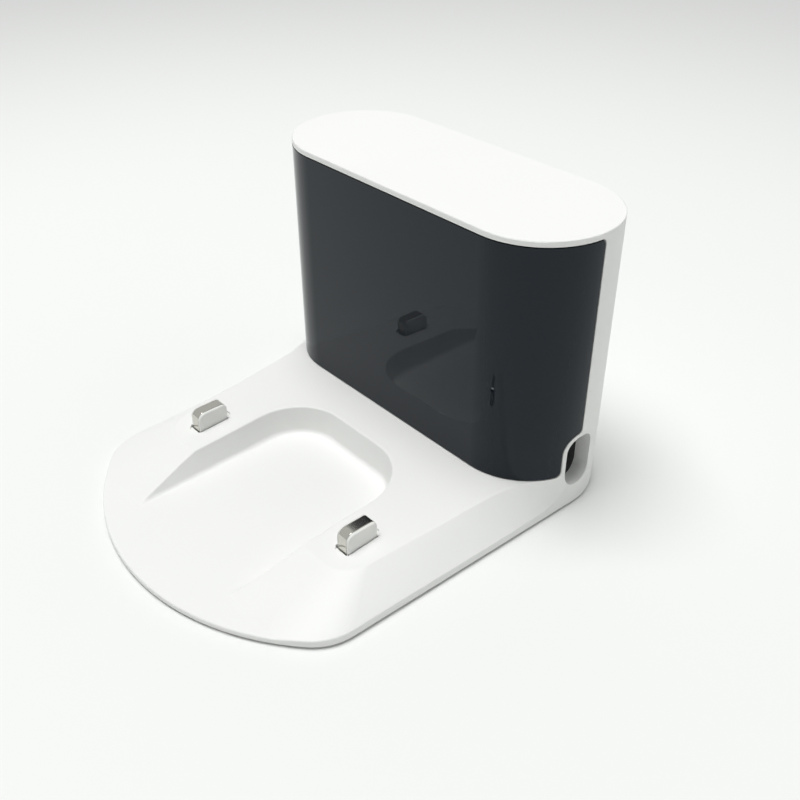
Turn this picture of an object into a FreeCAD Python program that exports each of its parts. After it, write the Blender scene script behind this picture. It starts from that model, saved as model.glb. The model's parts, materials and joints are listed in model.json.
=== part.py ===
import FreeCAD, Part
import math
import os

Vector = FreeCAD.Vector

# Margins of construction: how far a cut runs past a face, how full a rounded end is, and how
# near an edge lies to a place that it is known by
cut_over = 1.0
full_round = 0.98
edge_tol = 0.01

# Overall envelope of the dock
dock_width = 130.0
dock_depth = 152.0
dock_height = 98.0

# Tower: a stadium in plan, straight walls
tower_depth = 50.0
tower_wall = 2.2
top_wall = 2.2
top_edge_round = 0.35

# Rim of the base in plan: sides that lean in towards the front, a large front arc, blended corners
foot_height = 1.0
side_lean = 1.86
front_arc_radius = 82.0
front_corner_radius = 18.0

# Deck: slopes up to the tower, breaks into two ramps at the front and lies over a thin apron
apron_height = 2.7
deck_height = 13.9
kink_height = 10.36
apron_run = 16.3
ramp_run = 24.7
deck_wall = 2.4
plinth_height = 14.0

# Side skirts between the deck and the rim
crease_inset = 15.1
crease_lean = 5.6
crease_corner_radius = 10.0
crease_round = 1.2
rim_round = 0.6
flare_radius = 40.0
skirt_over_rear = 0.5
skirt_over_front = 1.0
skirt_corner_radius = 18.0

# Caster pocket in the deck, open to the apron
pocket_rear_run = 14.3
pocket_inset_rear = 34.8
pocket_inset_front = 32.8
pocket_corner_top = 20.0
pocket_corner_floor = 16.0
pocket_floor_inset_rear = 36.6
pocket_floor_inset_front = 37.6
pocket_rear_lean = 2.0
pocket_floor_round = 2.0
brim_round = 0.7

# Smoked front panel and the lip behind its edges
panel_wall = 2.0
panel_gap = 0.4
panel_step = 0.9
panel_fit = 0.1
panel_seat = 0.2
panel_corner = 2.0
top_lip = 1.8
lip_wall = 1.2
lip_reach = 3.5
ledge_width = 5.4

# Cord exits in the tower ends
exit_width = 11.4
exit_height = 19.0
exit_corner = 5.0
exit_low = 8.5
exit_rim = 1.4
exit_sleeve = 5.4
notch_round = 1.6

# Rear cover of the cord bay
cover_width = 74.0
cover_low = 8.0
cover_head = 46.0
cover_corner = 5.0
cover_wall = 2.0
cover_gap = 0.3
cover_edge_round = 0.4
peg_radius = 2.0
peg_length = 8.0
peg_inset = 3.2
peg_gap = 0.3
socket_block = 8.1
socket_block_length = 9.5
notch_radius = 7.0

# Cord bay behind the cover
bay_wall = 1.8
bay_margin = 1.0
bay_depth = 32.4
bay_seat = 0.1
duct_wall = 1.4
post_half_width = 12.0
post_height = 15.0
post_reach = 25.0
post_flange = 3.0
post_flange_wall = 2.0
ear_reach = 8.5
ear_wall = 2.0
ear_half = 4.0
ear_drop = 13.0
ear_boss_length = 9.0
bay_rib_x = 20.0
bay_rib_wall = 2.0
bay_rib_length = 20.0

# Bottom plate, its screws and bosses, and the rubber feet
plate_wall = 1.6
plate_gap = 0.3
opening_wall = 2.6
opening_ramp_run = 15.0
boss_radius = 3.2
ramp_boss_inset = 3.0
ramp_boss_out = 3.5
deck_boss_run = 18.0
deck_boss_inset = 2.4
rear_boss_turn = 35.0
plate_edge = 0.8
screw_radius = 1.4
screw_head_radius = 2.6
screw_head = 1.0
screw_length = 5.0
screw_gap = 0.15
foot_length = 14.0
foot_width = 8.0
front_foot_in = 7.0
deck_foot_out = 11.0
deck_foot_run = 8.0
foot_recess = 0.5
foot_gap = 0.15

# Charging contacts
contact_inset = 24.1
contact_setback = 13.0
contact_width = 5.6
contact_length = 11.6
contact_top = 17.5
contact_round_front = 2.8
contact_round_rear = 1.9
contact_travel = 3.0
slide_gap = 0.3
strip_thick = 0.35
strip_round = 0.15
strip_gap = 0.15
cheek_wall = 0.8
cheek_drop = 0.1
cheek_round = 0.6
flange_side = 1.6
flange_wall = 1.2
collar_wall = 1.2
travel_margin = 0.6
scoop_reach = 1.9
scoop_depth = 0.6
spring_bore = 1.5
spring_bore_top = 14.0
spring_radius = 1.05
spring_wire = 0.4
spring_turns = 6
spring_end_gap = 0.05
housing_wall = 1.2
terminal_thick = 0.3
terminal_half_width = 1.5
terminal_tail = 4.0
lead_radius = 0.8
lead_gap = 0.35
lead_bend = 4.0
lead_rise_inset = 8.0

# Mains inlet in the ceiling of the bay
inlet_x = 24.0
inlet_y_inset = 19.0
inlet_flange_length = 23.0
inlet_flange_width = 14.0
inlet_flange_wall = 1.5
inlet_body_length = 19.0
inlet_body_width = 11.0
inlet_gap = 0.2
socket_lobe = 3.9
socket_waist = 3.0
socket_depth = 11.0
pin_spacing = 8.6
pin_radius = 1.2
pin_length = 9.5
pin_tail = 3.0
pin_gap = 0.05
pin_hole_gap = 0.2

# Power board over the bay
board_half_width = 52.0
board_depth = 40.0
board_gap = 1.0
board_thick = 1.6
board_lift = 11.2
board_front_inset = 6.0
board_post_radius = 3.0
board_post_x = 37.0
board_post_margin = 6.0

# What stands on the power board
core_length = 22.0
core_width = 7.0
core_height = 19.0
core_leg = 3.5
core_centre_leg = 7.0
winding_gap = 0.2
winding_width = 17.0
winding_round = 3.6
transformer_x = -8.0
bulk_radius = 7.0
bulk_height = 21.0
bulk_x = -27.0
can_round = 0.6
output_radius = 4.0
output_height = 13.0
output_x = -41.0
output_pitch = 10.0
choke_radius = 4.5
choke_wire = 2.2
choke_x = 11.2
line_capacitor_length = 15.0
line_capacitor_width = 6.0
line_capacitor_height = 12.0
fuse_radius = 4.2
fuse_height = 7.7
fuse_x = 40.0
sink_length = 30.0
sink_height = 18.0
sink_wall = 1.6
sink_fin = 5.0
sink_fins = 5
sink_x = 1.0
transistor_width = 10.0
transistor_thick = 4.5
transistor_height = 15.0

# Infra-red beacon behind the front panel
beacon_drop = 7.0
ir_board_half = 36.0
ir_board_height = 16.0
ir_board_thick = 1.2
ir_post_length = 4.8
ir_post_radius = 2.6
ir_post_x = 32.5
ir_shroud_half = 28.0
ir_shroud_height = 10.0
ir_shroud_wall = 1.2
ir_shroud_gap = 0.3
emitter_count = 5
emitter_radius = 1.5
emitter_length = 4.2
ribbon_width = 6.0
ribbon_thick = 0.9

# Places and sizes worked out from the driving dimensions
half_width = dock_width / 2
contact_spread = half_width - contact_inset
crease_half_front = half_width - crease_inset
pocket_half_rear = half_width - pocket_inset_rear
pocket_half_front = half_width - pocket_inset_front
pocket_floor_half_rear = half_width - pocket_floor_inset_rear
pocket_floor_half_front = half_width - pocket_floor_inset_front
cover_height = dock_height - cover_low - cover_head
back_y = dock_depth / 2
front_y = -dock_depth / 2
tower_radius = tower_depth / 2
tower_half = half_width - tower_radius
tower_y = back_y - tower_radius
panel_y = tower_y - tower_radius
rim_z = foot_height
tip_y = front_y + apron_run
kink_y = tip_y + ramp_run
deck_slope = (deck_height - kink_height) / (panel_y - kink_y)
lean = math.radians(side_lean)
crease_angle = math.radians(crease_lean)
panel_top = dock_height - top_lip
plate_top = rim_z + plate_wall
inner_back_y = back_y - tower_wall
bay_rear_y = inner_back_y - bay_seat
bay_front_y = bay_rear_y - bay_depth
bay_half = cover_width / 2 + bay_margin
bay_low = cover_low - bay_margin
bay_high = cover_low + cover_height + bay_margin
bay_top = bay_high + bay_wall
ear_height = bay_high - ear_drop
beacon_height = bay_high - beacon_drop
board_low = bay_top + board_lift
board_high = board_low + board_thick
board_front_y = panel_y + board_front_inset
inlet_y = bay_rear_y - inlet_y_inset
contact_y = kink_y + contact_setback
terminal_top = plate_top + terminal_thick
flange_low = terminal_top + contact_travel + travel_margin
flange_top = flange_low + flange_wall
collar_low = flange_top + slide_gap
lead_z = plate_top + lead_gap + lead_radius
lead_rise_y = panel_y + lead_rise_inset
ir_back_y = bay_front_y - ir_post_length
ir_front_y = ir_back_y - ir_board_thick
ear_x = bay_half + bay_wall + ear_reach / 2
ear_y = inner_back_y - ear_boss_length
cover_mid = cover_low + cover_height / 2
cover_inner_y = back_y - cover_wall
core_half = contact_width / 2
core_reach = contact_length / 2
flange_half = core_half + flange_side
flange_reach = core_reach + flange_side
sides = (("left", -1), ("right", 1))


def deck_z(y):
    """Height of the deck plane at a place along the dock."""
    return deck_height - deck_slope * (panel_y - y)


def box(x0, x1, y0, y1, z0, z1):
    return Part.makeBox(x1 - x0, y1 - y0, z1 - z0, Vector(x0, y0, z0))


def post(x, y, z0, z1, radius):
    """Upright cylinder."""
    return Part.makeCylinder(radius, z1 - z0, Vector(x, y, z0))


def peg(x, z, y0, y1, radius):
    """Cylinder that lies along the dock's depth."""
    return Part.makeCylinder(radius, y1 - y0, Vector(x, y0, z), Vector(0, 1, 0))


def line(a, b):
    return Part.LineSegment(a, b).toShape()


def arc(a, middle, b):
    return Part.Arc(a, middle, b).toShape()


def prism(wire, direction):
    return Part.Face(wire).extrude(direction)


def on_circle(centre, radius, angle):
    """Point of a level circle, the angle in radians from +X towards +Y."""
    return Vector(centre.x + radius * math.cos(angle), centre.y + radius * math.sin(angle), centre.z)


def mirrored(shape):
    """The same shape on the other side of the dock's middle plane."""
    return shape.mirror(Vector(0, 0, 0), Vector(1, 0, 0))


def fuse_all(shapes):
    return shapes[0].multiFuse(shapes[1:]).removeSplitter()


def stadium(inset, z0, z1):
    """Upright prism of the tower's outline, inset from its outer wall."""
    radius = tower_radius - inset
    right = Vector(tower_half, tower_y, z0)
    left = Vector(-tower_half, tower_y, z0)
    edges = [
        line(on_circle(left, radius, math.pi / 2), on_circle(right, radius, math.pi / 2)),
        arc(on_circle(right, radius, math.pi / 2), on_circle(right, radius, 0),
            on_circle(right, radius, -math.pi / 2)),
        line(on_circle(right, radius, -math.pi / 2), on_circle(left, radius, -math.pi / 2)),
        arc(on_circle(left, radius, -math.pi / 2), on_circle(left, radius, math.pi),
            on_circle(left, radius, math.pi / 2)),
    ]
    return prism(Part.Wire(edges), Vector(0, 0, z1 - z0))


def front_half(z0, z1):
    """Everything in front of the tower's middle plane."""
    return box(-dock_width, dock_width, -dock_depth, tower_y, z0, z1)


def corner_centre():
    """Centre of the front corner's blend, tangent to the side and to the front arc."""
    start = Vector(tower_half, tower_y, 0)
    tangent = start + Vector(math.cos(lean), -math.sin(lean), 0) * (tower_radius - front_corner_radius)
    along = Vector(-math.sin(lean), -math.cos(lean), 0)
    arc_centre = Vector(0, front_y + front_arc_radius, 0)
    reach = front_arc_radius - front_corner_radius
    offset = tangent - arc_centre
    half_b = offset.dot(along)
    run = -half_b + math.sqrt(half_b ** 2 - offset.dot(offset) + reach ** 2)
    return tangent + along * run


def rim_prism(inset, z0, z1):
    """Upright prism of the base's outline, inset from the rim."""
    lift = Vector(0, 0, z0)
    tower_c = Vector(tower_half, tower_y, 0) + lift
    corner_c = corner_centre() + lift
    front_c = Vector(0, front_y + front_arc_radius, 0) + lift
    heading = corner_c - front_c
    turn = math.atan2(heading.y, heading.x)
    tower_r = tower_radius - inset
    corner_r = front_corner_radius - inset
    front_r = front_arc_radius - inset
    rear = on_circle(tower_c, tower_r, math.pi / 2)
    rear_mid = on_circle(tower_c, tower_r, math.pi / 4)
    side_rear = on_circle(tower_c, tower_r, -lean)
    side_front = on_circle(corner_c, corner_r, -lean)
    corner_mid = on_circle(corner_c, corner_r, (turn - lean) / 2)
    front_side = on_circle(corner_c, corner_r, turn)
    front = on_circle(front_c, front_r, -math.pi / 2)
    right = [rear, rear_mid, side_rear, side_front, corner_mid, front_side, front]
    left = [Vector(-p.x, p.y, p.z) for p in right]
    edges = [line(left[0], right[0])]
    edges.append(arc(right[0], right[1], right[2]))
    edges.append(line(right[2], right[3]))
    edges.append(arc(right[3], right[4], right[5]))
    edges.append(arc(right[5], right[6], left[5]))
    edges.append(arc(left[5], left[4], left[3]))
    edges.append(line(left[3], left[2]))
    edges.append(arc(left[2], left[1], left[0]))
    return prism(Part.Wire(edges), Vector(0, 0, z1 - z0))


def blend(corner, before, after, radius):
    """Start, middle and end of an arc that rounds a corner between two points."""
    inward = (before - corner).normalize()
    outward = (after - corner).normalize()
    half = math.acos(max(-1.0, min(1.0, inward.dot(outward)))) / 2
    reach = radius / math.tan(half)
    axis = (inward + outward).normalize()
    middle = corner + axis * (radius / math.sin(half) - radius)
    return corner + inward * reach, middle, corner + outward * reach


def crease_points():
    """Right half of the deck's outline, from the tower's middle to the front, in plan."""
    tower_c = Vector(tower_half, tower_y, 0)
    along = Vector(math.sin(crease_angle), math.cos(crease_angle), 0)
    outward = Vector(math.cos(crease_angle), -math.sin(crease_angle), 0)
    start = Vector(crease_half_front, kink_y, 0)
    offset = start + outward * flare_radius - tower_c
    reach = flare_radius + tower_radius
    half_b = offset.dot(along)
    run = -half_b - math.sqrt(half_b ** 2 - offset.dot(offset) + reach ** 2)
    flare_c = start + outward * flare_radius + along * run
    toward = (flare_c - tower_c).normalize()
    on_tower = tower_c + toward * tower_radius
    tower_mid = tower_c + (toward + Vector(1, 0, 0)).normalize() * tower_radius
    flare_end = start + along * run
    flare_mid = flare_c + ((on_tower - flare_c) + (flare_end - flare_c)).normalize() * flare_radius
    round_a, round_mid, round_b = blend(start, flare_end, Vector(0, kink_y, 0), crease_corner_radius)
    return [Vector(half_width, tower_y, 0), tower_mid, on_tower, flare_mid, flare_end,
            round_a, round_mid, round_b]


def skirt_points(crease):
    """Right half of the skirt's foot, with a point for each one of the deck's outline."""
    rear = Vector(half_width + skirt_over_rear, tower_y, 0)
    rim_run = tower_y - kink_y
    front = Vector(half_width - rim_run * math.tan(lean) + skirt_over_front, kink_y, 0)
    fall = (front - rear) * (1.0 / rim_run)
    corner = rear + fall * (tower_y - tip_y)
    matched = [rear + fall * (tower_y - p.y) for p in crease[:5]]
    round_a, round_mid, round_b = blend(corner, rear, Vector(0, tip_y, 0), skirt_corner_radius)
    return matched + [round_a, round_mid, round_b]


def outline_edges(points, curved):
    """Closed chain of edges through a half outline and its mirror image."""
    left = [Vector(-p.x, p.y, p.z) for p in points]

    def half(p):
        bend = arc if curved else (lambda a, middle, b: line(a, b))
        return [bend(p[0], p[1], p[2]), bend(p[2], p[3], p[4]), line(p[4], p[5]), arc(p[5], p[6], p[7])]

    return half(points) + [line(points[7], left[7])] + half(left)[::-1] + [line(left[0], points[0])]


def mesa(drop):
    """Raised deck with its skirts and ramps, lowered by a wall's thickness where it is a hollow."""
    crease = crease_points()
    foot = [Vector(p.x, p.y, apron_height) for p in skirt_points(crease)]
    deck = [Vector(p.x, p.y, deck_z(p.y)) for p in crease]
    low = Part.Wire(Part.__sortEdges__(outline_edges(foot, False)))
    high = Part.Wire(Part.__sortEdges__(outline_edges(deck, True)))
    solid = Part.makeLoft([low, high], True, True)
    solid.translate(Vector(0, 0, -drop))
    return solid


def pocket_wire(half_rear, half_front, rear_y, corner, z):
    """Outline of the caster pocket at one height, open past the front."""
    far_y = front_y - ramp_run
    widen = (half_front - half_rear) / (rear_y - kink_y)
    right_far = Vector(half_rear + widen * (rear_y - far_y), far_y, z)
    right_rear = Vector(half_rear, rear_y, z)
    left_rear = Vector(-half_rear, rear_y, z)
    a, m, b = blend(right_rear, right_far, left_rear, corner)
    right = [right_far, a, m, b]
    left = [Vector(-p.x, p.y, p.z) for p in right]
    edges = [line(right[0], right[1]), arc(right[1], right[2], right[3]), line(right[3], left[3])]
    edges += [arc(left[3], left[2], left[1]), line(left[1], left[0]), line(left[0], right[0])]
    return Part.Wire(edges)


def pocket(grow, z_low):
    """Room of the caster pocket, grown by a wall where it bounds a hollow."""
    rear_y = panel_y - pocket_rear_run + grow
    top = pocket_wire(pocket_half_rear + grow, pocket_half_front + grow, rear_y,
                      pocket_corner_top + grow, plinth_height)
    if grow:
        top.translate(Vector(0, 0, z_low - plinth_height))
        return prism(top, Vector(0, 0, plinth_height - z_low))
    floor = pocket_wire(pocket_floor_half_rear, pocket_floor_half_front, rear_y - pocket_rear_lean,
                        pocket_corner_floor, apron_height)
    room = Part.makeLoft([floor, top], True, True)
    foot = [e for e in room.Edges if e.BoundBox.ZMax < apron_height + edge_tol and e.BoundBox.YMax > front_y]
    return room.makeFillet(pocket_floor_round, foot)


def rounded_block(half_x, half_z, corner, y0, y1, z_mid):
    """Block along the dock's depth with rounded corners in front view."""
    low = z_mid - half_z
    high = z_mid + half_z
    slab = box(-half_x, half_x, y0, y1, low, high)
    upright = [e for e in slab.Edges if abs(e.BoundBox.YLength - (y1 - y0)) < edge_tol]
    return slab.makeFillet(corner, upright)


def exit_block(grow, x0, x1):
    """Rounded room of a cord exit along the dock's width, grown by a rim."""
    half_y = exit_width / 2 + grow
    low = exit_low - grow
    high = exit_low + exit_height + grow
    block = box(x0, x1, tower_y - half_y, tower_y + half_y, low, high)
    long_edges = [e for e in block.Edges if abs(e.BoundBox.XLength - (x1 - x0)) < edge_tol]
    return block.makeFillet(exit_corner + grow, long_edges)


def plate_opening(inset, z0, z1):
    """Hollow of the base in plan, round the caster pocket."""
    outline = rim_prism(opening_wall + inset, z0, z1)
    opening_front = kink_y - opening_ramp_run + inset
    front = box(-dock_width, dock_width, opening_front, dock_depth, z0, z1)
    return outline.common(front).cut(pocket(deck_wall + inset, z0).common(front))


def contact_places():
    return [(name, side * contact_spread) for name, side in sides]


def plate_screw_places():
    """Bosses under the ramps, beside the pocket and in the tower's rear corners."""
    ramp_place = Vector(contact_spread + ramp_boss_out, kink_y - ramp_boss_inset, 0)
    deck_place = Vector(crease_half_front - deck_boss_inset, panel_y - deck_boss_run, 0)
    reach = tower_radius - opening_wall - plate_gap - screw_head_radius - plate_edge
    rear_place = on_circle(Vector(tower_half, tower_y, 0), reach, math.radians(rear_boss_turn))
    right = [ramp_place, deck_place, rear_place]
    return right + [Vector(-p.x, p.y, 0) for p in right]


def foot_places():
    """Rubber feet: two under the apron, two under the deck, two under the tower."""
    right = [(contact_spread - front_foot_in, tip_y),
             (contact_spread + deck_foot_out, contact_y + deck_foot_run),
             (tower_half, tower_y + tower_radius / 2)]
    return [(side * x, y) for x, y in right for side in (-1, 1)]


def foot_pad(x, y, grow, z0, z1, along):
    """Obround pad under the dock, its long way across the dock or along it."""
    half_wide = foot_width / 2 + grow
    half_long = foot_length / 2 + grow
    half_x, half_y = (half_wide, half_long) if along else (half_long, half_wide)
    pad = box(x - half_x, x + half_x, y - half_y, y + half_y, z0, z1)
    upright = [e for e in pad.Edges if e.BoundBox.ZLength > (z1 - z0) / 2]
    return pad.makeFillet(half_wide * full_round, upright)


def edge_middle(edge):
    return edge.valueAt((edge.FirstParameter + edge.LastParameter) / 2)


def on_pocket_brim(edge):
    """Whether an edge runs along the top of the caster pocket, over the deck or a ramp."""
    p = edge_middle(edge)
    if abs(p.x) > pocket_half_front:
        return False
    if p.y > kink_y + edge_tol:
        return abs(p.z - deck_z(p.y)) < edge_tol and p.y < panel_y
    return p.y < kink_y - edge_tol and p.z > apron_height + edge_tol


def on_crease(edge):
    """Whether an edge parts the deck from a skirt or a ramp."""
    p = edge_middle(edge)
    return abs(p.z - deck_z(p.y)) < edge_tol and p.y < panel_y


def on_rim(edge):
    """Whether an edge runs along the top of the rim, round the front and both sides."""
    p = edge_middle(edge)
    low = apron_height - edge_tol < p.z < 2 * apron_height and edge.BoundBox.ZLength < apron_height / 2
    outside = abs(p.x) > crease_half_front or p.y < front_y + edge_tol
    return low and outside and p.y < tower_y - tower_radius / 2


def base_body():
    """Deck, skirts, ramps, apron and rim as one solid mass with rounded edges."""
    deck = mesa(0)
    deck = deck.makeFillet(crease_round, [e for e in deck.Edges if on_crease(e)])
    deck = deck.cut(pocket(0, 0))
    deck = deck.makeFillet(brim_round, [e for e in deck.Edges if on_pocket_brim(e)])
    slab = box(-dock_width, dock_width, -dock_depth, dock_depth, 0, apron_height)
    mass = deck.fuse(slab).common(rim_prism(0, rim_z, plinth_height)).Solids[0]
    return mass.makeFillet(rim_round, [e for e in mass.Edges if on_rim(e)])


def tower_void():
    """Room inside the tower, narrower at the ledge that the front panel stands on."""
    ceiling = dock_height - top_wall
    upper = stadium(tower_wall, plinth_height, ceiling)
    rear = stadium(tower_wall, rim_z, plinth_height).cut(front_half(0, dock_height))
    front = stadium(ledge_width, rim_z, plinth_height).common(front_half(0, dock_height))
    return fuse_all([upper, rear, front])


def panel_profile(grow):
    """Side view of the front panel's cover: rounded under the lip, notched round the cord exit."""
    edge_y = tower_y + grow
    notch_y = tower_y - exit_width / 2 - exit_rim + grow
    low = plinth_height - grow
    high = panel_top + grow
    centre = Vector(0, tower_y - exit_width / 2 + exit_corner, exit_low + exit_height - exit_corner)
    rim_r = exit_corner + exit_rim - grow
    round_y = edge_y - notch_round - centre.y
    round_c = centre + Vector(0, round_y, math.sqrt((rim_r + notch_round) ** 2 - round_y ** 2))
    touch = centre + (round_c - centre).normalize() * rim_r
    rim_start = centre + Vector(0, -rim_r, 0)
    rim_mid = centre + ((touch - centre) + (rim_start - centre)).normalize() * rim_r
    round_end = round_c + Vector(0, notch_round, 0)
    round_mid = round_c + ((touch - round_c) + (round_end - round_c)).normalize() * notch_round
    far_low = Vector(0, front_y, low)
    far_high = Vector(0, front_y, high)
    foot = blend(Vector(0, notch_y, low), far_low, rim_start, panel_corner)
    head = blend(Vector(0, edge_y, high), round_end, far_high, panel_corner)
    edges = [
        line(far_low, foot[0]),
        arc(*foot),
        line(foot[2], rim_start),
        arc(rim_start, rim_mid, touch),
        arc(touch, round_mid, round_end),
        line(round_end, head[0]),
        arc(*head),
        line(head[2], far_high),
        line(far_high, far_low),
    ]
    return prism(Part.Wire(edges), Vector(dock_width, 0, 0))


def panel_cover(grow):
    """Room that the front panel takes up in the tower's wall, both ends alike."""
    right = panel_profile(grow)
    return right.fuse(mirrored(right))


def panel_lip():
    """Step inside the panel's edges that the panel seats against."""
    outer = panel_wall + panel_seat
    low = plinth_height - ledge_width / 2
    high = dock_height - top_wall / 2
    ring = stadium(outer, low, high).cut(stadium(outer + lip_wall, low, high))
    ring = ring.common(box(-dock_width, dock_width, -dock_depth, tower_y + lip_reach, 0, dock_height))
    window = box(-dock_width, dock_width, -dock_depth, tower_y - exit_width / 2 - exit_rim - lip_reach,
                 plinth_height + lip_reach, panel_top - lip_reach)
    return ring.cut(window)


def contact_slot(x):
    """Slot in the deck for one charging contact, with a shallow scoop at each end."""
    half = core_half + slide_gap
    reach = core_reach + slide_gap
    slot = box(x - half, x + half, contact_y - reach, contact_y + reach, 0, dock_height / 2)
    scoop_half = core_reach + scoop_reach
    floor = deck_z(contact_y) - scoop_depth
    bar = box(x - half, x + half, contact_y - scoop_half, contact_y + scoop_half, floor, dock_height / 2)
    ends = [e for e in bar.Edges if e.BoundBox.ZLength > scoop_depth and e.BoundBox.XLength < edge_tol]
    bar = bar.makeFillet(half * full_round, ends)
    tilt = -math.degrees(math.atan(deck_slope))
    bar.rotate(Vector(x, contact_y, floor), Vector(1, 0, 0), -tilt)
    return slot.fuse(bar)


def on_cover_edge(edge):
    """Whether an edge runs round the rear cover or its opening, on the dock's back."""
    p = edge_middle(edge)
    inside = abs(p.x) < cover_width / 2 + edge_tol and cover_low - edge_tol < p.z
    return abs(p.y - back_y) < edge_tol and inside and p.z < cover_low + cover_height + edge_tol


def tower_mass():
    """Tower as one solid mass, rounded round its top and round the rear cover's opening."""
    tower = stadium(0, rim_z, dock_height)
    top = [e for e in tower.Edges if e.BoundBox.ZMin > dock_height - edge_tol]
    tower = tower.makeFillet(top_edge_round, top)
    tower = tower.cut(rounded_block(cover_width / 2, cover_height / 2, cover_corner,
                                    tower_y + tower_radius / 2, dock_depth, cover_mid))
    return tower.makeFillet(cover_edge_round, [e for e in tower.Edges if on_cover_edge(e)])


def main_shell():
    """White moulding: deck and skirts, tower back and top, rims of the cord exits."""
    hollow = mesa(deck_wall).common(plate_opening(0, -deck_wall, plinth_height - deck_wall))
    below = plate_opening(0, rim_z - cut_over, plate_top)
    base = base_body()
    open_front = front_half(plinth_height, panel_top).common(stadium(-cut_over, plinth_height, panel_top))
    shell = base.fuse(tower_mass()).cut(tower_void())
    shell = shell.cut(panel_cover(0).common(open_front))
    shell = shell.cut(hollow.fuse(below))
    shell = shell.fuse(panel_lip().common(stadium(0, plinth_height, dock_height)))
    collars = []
    for name, x in contact_places():
        half = core_half + slide_gap + collar_wall
        reach = core_reach + slide_gap + collar_wall
        roof = deck_z(contact_y - reach) - deck_wall / 2
        collars.append(box(x - half, x + half, contact_y - reach, contact_y + reach, collar_low, roof))
    bosses = []
    mass = base.fuse(stadium(0, rim_z, plinth_height))
    for place in plate_screw_places():
        boss = post(place.x, place.y, plate_top, plinth_height, boss_radius)
        bosses.append(boss.common(mass))
        if place.y > tower_y:
            end = Vector(tower_half if place.x > 0 else -tower_half, tower_y, 0)
            wall_side = place + (place - end).normalize() * boss_radius
            bosses.append(post(wall_side.x, wall_side.y, plate_top, plinth_height, boss_radius / 2))
    for side in (-1, 1):
        bosses.append(peg(side * ear_x, ear_height, ear_y, back_y - tower_wall / 2, boss_radius))
    sleeves = exit_block(exit_rim, -dock_width, dock_width).common(stadium(0, rim_z, dock_height))
    sleeves = sleeves.cut(stadium(exit_sleeve, rim_z, dock_height))
    shell = shell.multiFuse(collars + bosses + sleeves.Solids)
    cuts = [contact_slot(x) for name, x in contact_places()]
    for place in plate_screw_places():
        cuts.append(post(place.x, place.y, 0, plate_top + screw_length, screw_radius + screw_gap))
    cuts.append(exit_block(0, -dock_width, dock_width))
    for x, y in foot_places()[:2]:
        cuts.append(foot_pad(x, y, foot_gap, 0, rim_z + foot_recess, False))
    for side in (-1, 1):
        cuts.append(peg(side * ear_x, ear_height, ear_y, ear_y + screw_length, screw_radius + screw_gap))
    for cut in cuts:
        shell = shell.cut(cut)
    return shell


def front_panel():
    """Smoked window that wraps the front half of the tower, its edges stepped back at the face."""
    outer = stadium(0, plinth_height, panel_top)
    middle = stadium(panel_step, plinth_height, panel_top)
    face = outer.cut(middle).common(panel_cover(-panel_gap))
    rebate = middle.cut(stadium(panel_wall, plinth_height, panel_top)).common(panel_cover(-panel_fit))
    return face.fuse(rebate).removeSplitter()


def screw(place, direction):
    """Pan-head screw that points along a direction from the underside of its head."""
    shank = Part.makeCylinder(screw_radius, screw_length - screw_gap, place, direction)
    head = Part.makeCylinder(screw_head_radius, screw_head, place - direction * screw_head, direction)
    return head.fuse(shank).removeSplitter()


def bottom_plate():
    """Cover that closes the hollow base, with sunk screw heads and beds for the feet."""
    plate = plate_opening(plate_gap, rim_z, plate_top)
    for place in plate_screw_places():
        plate = plate.cut(post(place.x, place.y, 0, dock_height, screw_radius + screw_gap))
        plate = plate.cut(post(place.x, place.y, 0, rim_z + screw_head, screw_head_radius + screw_gap))
    for index, (x, y) in enumerate(foot_places()):
        if index > 1:
            plate = plate.cut(foot_pad(x, y, foot_gap, 0, rim_z + foot_recess, index < 4))
    return plate


def plate_screws():
    return [screw(Vector(p.x, p.y, rim_z + screw_head), Vector(0, 0, 1)) for p in plate_screw_places()]


def rubber_feet():
    return [foot_pad(x, y, 0, 0, rim_z + foot_recess, 1 < index < 4)
            for index, (x, y) in enumerate(foot_places())]


def peg_places():
    reach = cover_width / 2 - peg_inset
    rise = cover_height / 2 - peg_inset
    return [(sx * reach, cover_mid + sz * rise) for sx in (-1, 1) for sz in (-1, 1)]


def rear_cover():
    """Lift-off cover with four straight pegs and a finger notch."""
    cover = rounded_block(cover_width / 2 - cover_gap, cover_height / 2 - cover_gap,
                          cover_corner - cover_gap, cover_inner_y, back_y, cover_mid)
    cover = cover.makeFillet(cover_edge_round, [e for e in cover.Edges if on_cover_edge(e)])
    cover = cover.cut(peg(0, cover_low + cover_height, 0, dock_depth, notch_radius))
    pegs = [peg(x, z, cover_inner_y - peg_length, cover_inner_y, peg_radius) for x, z in peg_places()]
    return cover.multiFuse(pegs).removeSplitter()


def board_post_places():
    near = bay_front_y + board_post_margin
    far = bay_rear_y - board_post_margin
    return [(sx * board_post_x, y) for sx in (-1, 1) for y in (near, far)]


def winding_post():
    """Flat post with a wider end, round which the spare cord is wound."""
    start = bay_front_y
    end = bay_front_y + bay_wall + post_reach
    half = post_height / 2
    wide = half + post_flange
    stem = rounded_block(post_half_width, half, half * full_round, start, end, cover_mid)
    flange = rounded_block(post_half_width + post_flange, wide, wide * full_round,
                           end - post_flange_wall, end, cover_mid)
    return stem.fuse(flange)


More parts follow.
